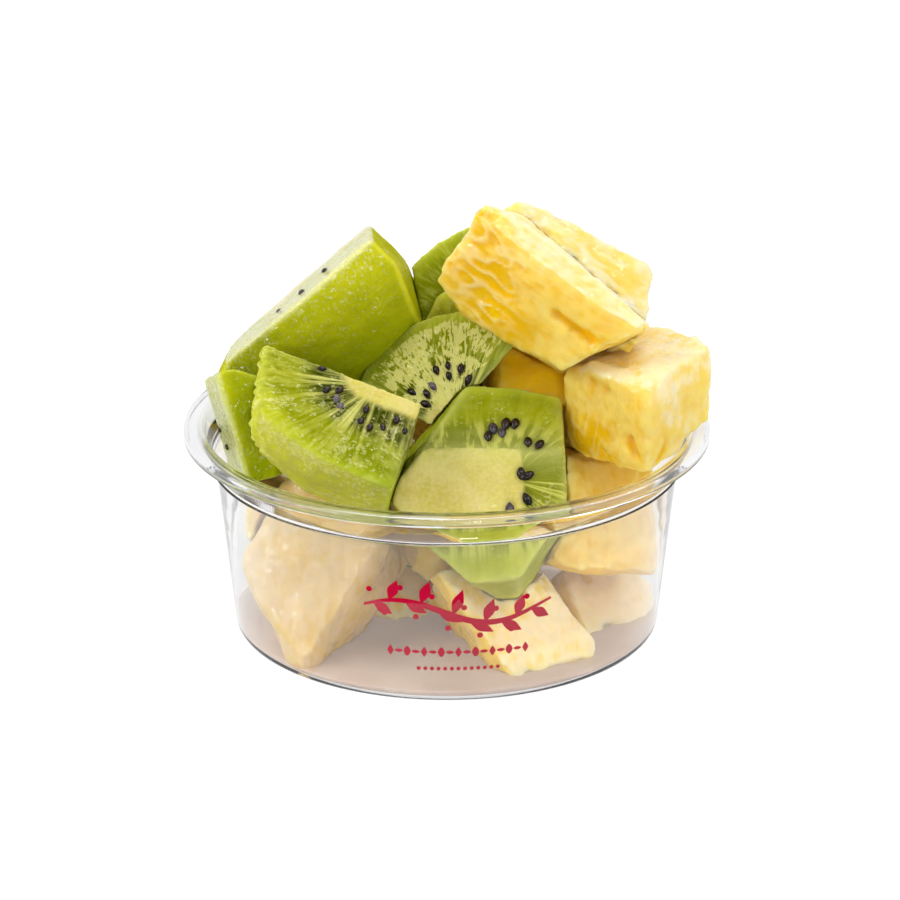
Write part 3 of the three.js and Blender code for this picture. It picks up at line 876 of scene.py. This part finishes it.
# How high the patterns stand. Edges are built up or nibbled by patterns of their own, less a steady loss.
CHUNK_RELIEF = {"broad": 0.8, "bundles": 0.22, "strands": 0.05, "juice": 0.16, "cells": 0.04, "pits": -0.6}
CHUNK_WEAR = {"nibbles": 1.2, "juice": 0.3, "cells": 0.12}
EDGE_LOSS = 0.25
DEEPEST_NIBBLE = -0.8
PLAIN_VEIN = 0.05
# The wall's inside, on which chunks lean: its radius at the foot's height, how it widens, and where it ends.
WALL_INSIDE = Named(radius=39.4, foot=2, widen=0.105, top=33)
# Faces turned this way, up and to the back right, are painted paler, as painted light, and those turned
# from it a deeper gold, as painted shade.
PAINTED_LIGHT_WAY = unit(np.array([0.4, 0.2, 0.8]))


def edge_share(mesh, outward, rounds=9):
    """Each point's normal averaged with its neighbours', and from 0 on flat ground to 1 on a sharp edge."""
    pairs = np.empty(len(mesh.edges) * 2, np.int32)
    mesh.edges.foreach_get("vertices", pairs)
    a, b = pairs.reshape(-1, 2).T
    count = len(outward)
    degree = np.bincount(a, minlength=count) + np.bincount(b, minlength=count) + 1
    mean = outward.copy()
    for _ in range(rounds):
        for k in range(3):
            gathered = np.bincount(a, mean[b, k], count) + np.bincount(b, mean[a, k], count)
            mean[:, k] = (mean[:, k] + gathered) / degree
    agreed = np.linalg.norm(mean, axis=1)
    return mean / agreed[:, None], np.clip((1 - agreed) / 0.2, 0, 1)


def mark_share(points, mark):
    """From 1 in the middle of a mark to 0 beyond its reach, with an uneven border."""
    start = np.array(mark["at"])
    run = np.array(mark.get("to", mark["at"])) - start
    length = max(run @ run, 1e-6)
    share = np.clip((points - start) @ run / length, 0, 1)
    far = np.linalg.norm(points - start - np.outer(share, run), axis=1)
    far *= 1 + 0.35 * ripple(points, (0.5, 0.5, 0.5), 3.0)
    return bell(far, mark["reach"])


def chunk_forms(points, way, chunk):
    """Each point's place along and across the fibres, and the patterns of the chunk there."""
    fibre = points @ axes_along(direction(*way)).T + chunk * FIBRE_SHIFT
    forms = {kind: ripple(fibre, *pattern) for kind, pattern in CHUNK_PATTERNS.items()}
    warped = fibre + WARP * forms["bundles"][:, None]
    forms["pits"] = ease(0.35, 0.85, ripple(warped, *WARPED_PATTERNS["pits"]))
    forms["veins"] = 1 - ease(0.03, 0.24, np.abs(ripple(warped, *WARPED_PATTERNS["veins"])))
    forms["nibbles"] = ripple(points, NIBBLES[0], chunk * NIBBLES[1])
    return fibre, forms


def marks_on(name, points):
    """How deep, golden, veined and bruised the chunk's marks make each point."""
    sums = {kind: np.zeros(len(points)) for kind in ("drop", "gold", "vein", "bruise")}
    for mark in MARKS.get(name, []):
        share = mark_share(points, mark)
        for kind in sums:
            sums[kind] += mark.get(kind, 0) * share
    return sums


def wall_touch(points, nibbles):
    """Where a chunk leans on the wall its juice makes a smooth patch, painted a little paler, with a painted
    highlight round it.
    """
    x, y, z = points.T
    wall = WALL_INSIDE.radius + (z - WALL_INSIDE.foot) * WALL_INSIDE.widen
    gap = wall - np.hypot(x, y) + 0.25 * nibbles
    beside_wall = (z < WALL_INSIDE.top) * (z > WALL_INSIDE.foot)
    touch = (1 - ease(1.0, 1.3, gap)) * beside_wall
    return touch, bell(gap - 1.25, 0.2) * beside_wall


def press_flat(mesh, points, bearing, slope, at):
    """Press every point beyond a plane back onto it."""
    normal = direction(bearing, slope)
    pressed = points - np.outer(np.maximum(points @ normal - at, 0), normal)
    write_points(mesh, pressed * MM)
    return pressed


def shape_pineapple(name, kind, chunk):
    mesh = fine_mesh(name, [], Vector())
    points = read_vectors(mesh.vertices, "co") / MM
    if name in PRESSED:
        points = press_flat(mesh, points, *PRESSED[name])
    outward = read_vectors(mesh.vertex_normals, "vector")
    bluff, edge = edge_share(mesh, outward)
    fibre, forms = chunk_forms(points, kind["fibres"], chunk)
    marks = marks_on(name, points)
    touch, border = wall_touch(points, forms["nibbles"])
    veined = np.clip(PLAIN_VEIN + marks["vein"], 0, 1)
    lift = piled(forms, CHUNK_RELIEF) - marks["drop"]
    lift += veined * (0.36 * forms["veins"] - 0.7 * forms["pits"])
    lift *= 1 - 0.7 * touch
    wear = piled(forms, CHUNK_WEAR) - EDGE_LOSS
    worn = edge * np.maximum(wear, DEEPEST_NIBBLE)
    write_points(mesh, (points + outward * lift[:, None] + bluff * worn[:, None]) * MM)

    # Painted light in the veins' tone: edges glow pale through thin flesh, wall patches are paler, their
    # borders a highlight.
    pits, veins = forms["pits"], forms["veins"]
    # Painted light: faces turned up and to the back right are painted paler, those turned away a deeper gold
    # as painted shade.
    gold = kind.get("gold", PLAIN_GOLD) + 0.25 * pits + marks["gold"]
    # Chunks behind the wall get painted shade and haze.
    set_attributes(
        mesh, fibre=fibre, dull=kind.get("dull", 0),
        hollow=np.clip(0.9 * pits - 0.5 * forms["juice"] - 0.3 * edge, -1, 1),
        vein=np.clip(veins * veined + 0.35 * edge + 0.7 * border + 0.12 * touch, 0, 1),
        gold=gold - 0.36 * np.clip(outward @ PAINTED_LIGHT_WAY, -0.4, 1),
        bruise=marks["bruise"] * (0.5 + 0.5 * forms["cells"]),
    )
    piece = new_piece(name + "_flesh", mesh, PINEAPPLE_FLESH)
    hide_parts(name)


# ---------- cup ----------
WALL = 0.5
RIM_RADIUS = 49
CUP_HEIGHT = 39.7
FOOT = Named(inner=35.2, outer=37.9, corner=1.9)
DISC = Named(radius=18, lift=1.2)
RECESS = 0.8
# The top of the tapering wall, and the bead of the shoulder above it.
WALL_TOP = Named(radius=43.06, z=31.9)
SHOULDER = Named(radius=44, z=32.9, bead=0.2)
NECK_TOP = 45.3
LIP_DROP = 1.7
LIP_THICK = 0.5
SPIN_STEPS = 384
# The juice on the base, its beige tint painted shadow of the fruit: the gap it keeps from the plastic, and
# its level.
POOL_GAP = 0.07
POOL_TOP = 2.15


def arc(centre_r, centre_z, radius, start, stop, steps):
    """Points on an arc of a profile, from one angle to another, in degrees."""
    turns = [math.radians(start + (stop - start) * i / steps) for i in range(steps + 1)]
    return [(centre_r + radius * math.cos(t), centre_z + radius * math.sin(t)) for t in turns]


def cup_profile():
    """The cup's section as [distance from the axis, height], out under the base and back inside."""
    under = [
        (0, DISC.lift), (DISC.radius - 0.5, DISC.lift), (DISC.radius, RECESS),
        (FOOT.inner - 0.7, RECESS), (FOOT.inner - 0.2, 0.2), (FOOT.inner, 0),
        *arc(FOOT.outer, FOOT.corner, FOOT.corner, -90, -8, 6),
    ]
    outside = [
        (WALL_TOP.radius, WALL_TOP.z),
        *arc(SHOULDER.radius - 0.1, SHOULDER.z - 0.2, SHOULDER.bead, -75, 78, 8),
        (NECK_TOP - 0.1, CUP_HEIGHT - 1), (NECK_TOP + 0.5, CUP_HEIGHT - WALL),
        *arc(RIM_RADIUS - 1, CUP_HEIGHT - WALL - 0.5, 0.5, 90, 0, 3),
        (RIM_RADIUS - LIP_THICK, CUP_HEIGHT - LIP_DROP), (RIM_RADIUS, CUP_HEIGHT - LIP_DROP),
        *arc(RIM_RADIUS - 0.8, CUP_HEIGHT - 0.8, 0.8, 0, 90, 5),
    ]
    inside = [
        (NECK_TOP + 0.6, CUP_HEIGHT), (NECK_TOP - 0.1, CUP_HEIGHT - 0.25), (NECK_TOP - 0.4, CUP_HEIGHT - 0.8),
        (SHOULDER.radius - WALL, SHOULDER.z + 0.1),
        (SHOULDER.radius - WALL - 0.1, SHOULDER.z - 0.3),
        (WALL_TOP.radius - WALL, WALL_TOP.z),
        *arc(FOOT.outer, FOOT.corner + WALL / 2, FOOT.corner - WALL / 2, -8, -90, 6),
        (FOOT.inner - 0.2, WALL + 0.1), (FOOT.inner - 0.9, RECESS + WALL),
        (DISC.radius + 0.2, RECESS + WALL), (DISC.radius - 0.2, DISC.lift + WALL),
        (0, DISC.lift + WALL),
    ]
    return under + outside + inside


def spin_profile(name, profile, look):
    bm = bmesh.new()
    verts = [bm.verts.new((r * MM, 0, z * MM)) for r, z in profile]
    edges = [bm.edges.new(pair) for pair in zip(verts, verts[1:])]
    bmesh.ops.spin(
        bm, geom=verts + edges, cent=(0, 0, 0), axis=(0, 0, 1), angle=2 * math.pi, steps=SPIN_STEPS,
        use_merge=True,
    )
    bmesh.ops.remove_doubles(bm, verts=bm.verts, dist=1e-6)
    bmesh.ops.recalc_face_normals(bm, faces=bm.faces)
    return new_piece(name, mesh_of(bm, name), look)


def shape_cup():
    cup = spin_profile("cup_shell", cup_profile(), plastic_look())
    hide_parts("cup")
    floor = RECESS + WALL + POOL_GAP
    pool = [
        (0, DISC.lift + WALL + POOL_GAP), (DISC.radius, DISC.lift + WALL + POOL_GAP),
        (DISC.radius + 0.5, floor), (FOOT.inner - 1, floor), (FOOT.inner - 0.2, WALL + 0.2),
        *arc(FOOT.outer, FOOT.corner + WALL / 2, FOOT.corner - WALL / 2 - POOL_GAP, -90, 0, 8),
        (FOOT.outer + 0.6, POOL_TOP), (0, POOL_TOP),
    ]
    spin_profile("juice_pool_painted_shadow", pool, juice_and_painted_shadow_look())


# ---------- the printed sprig ----------
INK = Named(thick=0.05, proud=0.03)
PRINT_SIDE = 2.1
STEM = Named(
    steps=96, half=17.4, height=18.6, sway=2.2, turns=2.1, start=0.3, thin=0.5, swell=0.75,
)
LEAF = Named(count=11, first=5, step=8, length=5.6, shrink=0.3, width=2.1, lean=20, spread=50)
BERRY = Named(size=1.1, side=0.8, off=2.6)
LOZENGE = Named(count=17, start=12.4, step=1.55, height=10.5, size=(1.3, 2))
DASH = (1.5, 0.7)
DOT = Named(count=13, start=7.2, step=1.2, height=7.1, size=0.75)
WALL_FOOT = 39.6
WALL_SLOPE = (WALL_TOP.radius - WALL_FOOT) / (WALL_TOP.z - FOOT.corner)


def wall_point(side, height, out):
    """A point on the outside of the wall: side is the way round it from the front, both in millimetres."""
    radius = WALL_FOOT + (height - FOOT.corner) * WALL_SLOPE + out
    turn = side / radius - math.pi / 2
    return Vector((radius * math.cos(turn), radius * math.sin(turn), height)) * MM


def ink_blot(bm, centre, length, width, turn, pinch, steps=14):
    """A flat leaf, dot or lozenge of ink; pinch 1 gives it a pointed tip at both ends."""
    made = bmesh.ops.create_circle(bm, cap_ends=True, segments=steps * 2, radius=1)
    c, s = math.cos(math.radians(turn)), math.sin(math.radians(turn))
    for vert in made["verts"]:
        along = vert.co.x
        across = vert.co.y * (1 - pinch * abs(along) ** 1.5)
        vert.co = Vector((
            centre[0] + length / 2 * along * c - width / 2 * across * s,
            centre[1] + length / 2 * along * s + width / 2 * across * c, 0,
        ))


def ink_line(bm, path, widths):
    """A brushed line through points, as wide at each as widths says."""
    left, right = [], []
    for i, (x, z) in enumerate(path):
        ahead = path[min(i + 1, len(path) - 1)]
        behind = path[max(i - 1, 0)]
        way = Vector((ahead[0] - behind[0], ahead[1] - behind[1])).normalized()
        left.append(bm.verts.new((x - way.y * widths[i] / 2, z + way.x * widths[i] / 2, 0)))
        right.append(bm.verts.new((x + way.y * widths[i] / 2, z - way.x * widths[i] / 2, 0)))
    for i in range(len(path) - 1):
        bm.faces.new((left[i], right[i], right[i + 1], left[i + 1]))


def ink_stem(bm):
    """The sprig's stem, thickest in its middle; its points are returned."""
    stem, widths = [], []
    for i in range(STEM.steps + 1):
        share = i / STEM.steps
        swing = math.sin(STEM.turns * math.pi * share + STEM.start)
        stem.append((PRINT_SIDE + STEM.half * (2 * share - 1), STEM.height + STEM.sway * swing))
        widths.append(STEM.thin + STEM.swell * math.sin(math.pi * share))
    ink_line(bm, stem, widths)
    return stem


def ink_leaves(bm, stem):
    """Leaves to both sides of the stem by turns, each with a berry across from it."""
    for k in range(LEAF.count):
        x, z = stem[LEAF.first + k * LEAF.step]
        side = 1 if k % 2 else -1
        length = LEAF.length - LEAF.shrink * abs(k - LEAF.count // 2)
        turn = LEAF.lean + side * LEAF.spread
        lean = math.radians(turn)
        middle = (x + length / 2 * math.cos(lean), z + length / 2 * math.sin(lean))
        ink_blot(bm, middle, length, LEAF.width, turn, 0.8)
        ink_blot(bm, (x - BERRY.side, z - side * BERRY.off), BERRY.size, BERRY.size, 0, 0)


def ink_rows(bm):
    """A row of lozenges and flat dashes by turns, and a row of dots below it."""
    for k in range(LOZENGE.count):
        x = PRINT_SIDE - LOZENGE.start + LOZENGE.step * k
        length, width = DASH if k % 2 else LOZENGE.size
        ink_blot(bm, (x, LOZENGE.height), length, width, 0, 1 if k % 4 == 0 else 0.3)
    for k in range(DOT.count):
        x = PRINT_SIDE - DOT.start + DOT.step * k
        ink_blot(bm, (x, DOT.height), DOT.size, DOT.size, 0, 0)


def shape_print():
    bm = bmesh.new()
    ink_leaves(bm, ink_stem(bm))
    ink_rows(bm)
    bmesh.ops.recalc_face_normals(bm, faces=bm.faces)
    made = bmesh.ops.extrude_face_region(bm, geom=bm.faces[:])
    raised = [part for part in made["geom"] if isinstance(part, bmesh.types.BMVert)]
    bmesh.ops.translate(bm, vec=(0, 0, INK.thick), verts=raised)
    for vert in bm.verts:
        vert.co = wall_point(vert.co.x, vert.co.y, INK.proud + vert.co.z)
    bmesh.ops.recalc_face_normals(bm, faces=bm.faces)
    new_piece("wall_print", mesh_of(bm, "wall_print"), print_look(), smooth=False)


# ---------- camera, light and floor ----------
CAMERA_AT = (0, -0.8346, 0.3568)
CAMERA_AIM = (0.0006, 0, 0.0339)
CAMERA_LENS = 191.77
# How bright the room lights things and how bright it mirrors.
ROOM_LIGHT = 0.3
MIRROR_LIGHT = 0.7
# Each lamp: its bearing, slope and distance, its width and height, and how bright it looks.
LAMPS = {
    "key": (-150, 40, 0.9, 0.32, 0.32, 7.4),
    "front": (-80, 12, 1.1, 0.15, 0.12, 18),
    "fill_right": (-14, 60, 1.0, 0.55, 0.5, 3.4),
    "back_right": (38, 52, 1.0, 0.28, 0.28, 4.2),
    "left": (172, 32, 0.9, 0.5, 0.45, 3.9),
    "top_back": (80, 52, 1.0, 0.7, 0.5, 1.8),
    "top_front": (-92, 75, 1.0, 0.13, 0.13, 17),
    "front_right": (-50, 30, 1.0, 0.4, 0.35, 2.4),
}
LAMP_AIM = (0, 0, 0.04)


def place_camera():
    data = bpy.data.cameras.new("camera")
    data.lens = CAMERA_LENS
    data.sensor_width = 36
    data.clip_start = 0.01
    camera = add_object("camera", data)
    camera.location = CAMERA_AT
    camera.rotation_euler = (Vector(CAMERA_AIM) - Vector(CAMERA_AT)).to_track_quat("-Z", "Y").to_euler()
    SCENE.camera = camera


def softbox(name, bearing, slope, distance, width, height, radiance):
    """A rectangular lamp that faces the heap from that direction."""
    data = bpy.data.lights.new(name, "AREA")
    data.shape = "RECTANGLE"
    data.size = width
    data.size_y = height
    data.energy = radiance * math.pi * width * height
    lamp = add_object(name, data)
    way = Vector(direction(bearing, slope))
    lamp.location = Vector(LAMP_AIM) + way * distance
    lamp.rotation_euler = way.to_track_quat("Z", "Y").to_euler()


def room_light():
    """A white room that lights faintly, mirrors more brightly, and is pure white where it is seen."""
    look = Look(bpy.data.worlds.new("studio"))
    path = look.node("ShaderNodeLightPath").outputs
    seen = look.math("MAXIMUM", path["Is Camera Ray"], path["Is Transmission Ray"])
    mirrored = look.math("MULTIPLY_ADD", path["Is Glossy Ray"], MIRROR_LIGHT - ROOM_LIGHT, ROOM_LIGHT)
    background = look.tree.nodes["Background"].inputs
    look.feed(background["Strength"], look.math("MAXIMUM", seen, mirrored))
    background["Color"].default_value = (1, 1, 1, 1)
    SCENE.world = look.owner


def place_light():
    room_light()
    SCENE.view_settings.view_transform = "Standard"
    SCENE.cycles.use_denoising = True
    for name, lamp in LAMPS.items():
        softbox(name, *lamp)


def place_floor():
    bm = bmesh.new()
    bmesh.ops.create_grid(bm, x_segments=2, y_segments=2, size=3.0)
    bmesh.ops.translate(bm, vec=(0, 0, -0.0001), verts=bm.verts)
    floor = add_object("floor", mesh_of(bm, "floor"))
    look = new_look("studio_floor")
    shade = look.mix(look.spots(8.0), (0.08, 0.08, 0.08, 1), (0.1, 0.1, 0.1, 1))
    mirrored = look.node("ShaderNodeLightPath").outputs["Is Glossy Ray"]
    glow = look.between(mirrored, 0.0, 1.0, 0.97, 0.85, "LINEAR")
    look.finish(Base_Color=shade, Roughness=0.9, Emission_Color=(1, 1, 1, 1), Emission_Strength=glow)
    floor.data.materials.append(look.owner)


# ---------- the whole ----------
def build():
    place_camera()
    place_light()
    place_floor()
    seeds = []
    for number, (name, kiwi) in enumerate(KIWIS.items()):
        seeds += shape_kiwi(name, kiwi, number + 1)
    shape_seeds(seeds)
    for number, (name, kind) in enumerate(PINEAPPLES.items()):
        shape_pineapple(name, kind, number + 1)
    shape_cup()
    shape_print()


build()
